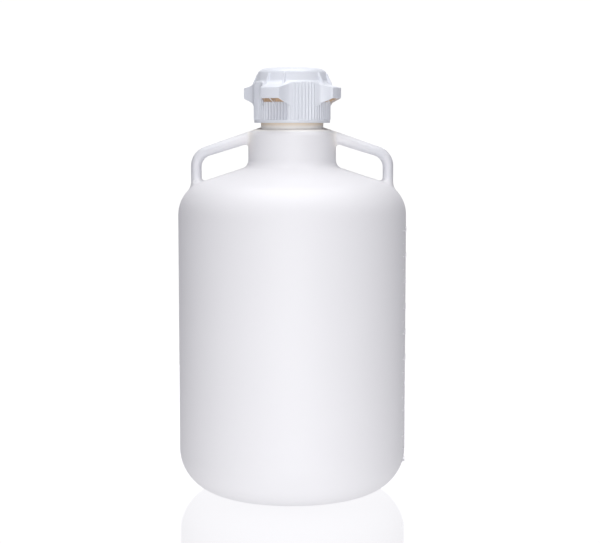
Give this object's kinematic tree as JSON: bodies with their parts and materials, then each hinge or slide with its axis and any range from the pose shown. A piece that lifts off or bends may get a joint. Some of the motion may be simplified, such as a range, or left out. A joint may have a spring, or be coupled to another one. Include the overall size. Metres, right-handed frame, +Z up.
{
  "type": "plastic carboy with shoulder handles",
  "caption": "Round blow-moulded storage carboy with two shoulder handles, a threaded neck, and a lobed screw closure that presses a sealing ring onto it.",
  "frame": {"origin": "centre of the base, on the plane of the foot ring", "axes": "+Z up along the bottle's axis, the handles along +X and -X, the front towards -Y"},
  "size_m": [0.2874, 0.2874, 0.5355],
  "materials": {
    "bottle_plastic": "satin natural-white polyolefin, faintly milky, smooth from the mould",
    "closure_plastic": "opaque cool-white injection-moulded polypropylene, semi-gloss",
    "sealing_ring": "matt pale grey elastomer"
  },
  "bodies": {
    "bottle": {"bottle_shell": "bottle_plastic", "handle_left": "bottle_plastic", "handle_right": "bottle_plastic"},
    "seal": {"cap_gasket": "sealing_ring"},
    "closure": {"screw_cap": "closure_plastic"}
  },
  "joints": [
    {"name": "closure_rise", "type": "slide", "parent": "bottle", "child": "seal", "axis": [0, 0, 1], "range_m": [0, 0.0501]},
    {"name": "closure_turn", "type": "hinge", "parent": "seal", "child": "closure", "pos_m": [0, 0, 0.5], "axis": [0, 0, 1], "range_deg": [0, 2250]}
  ],
  "couplings": [
    {"joint": "closure_rise", "follows": "closure_turn", "m_per_rad": 0.0012732}
  ]
}
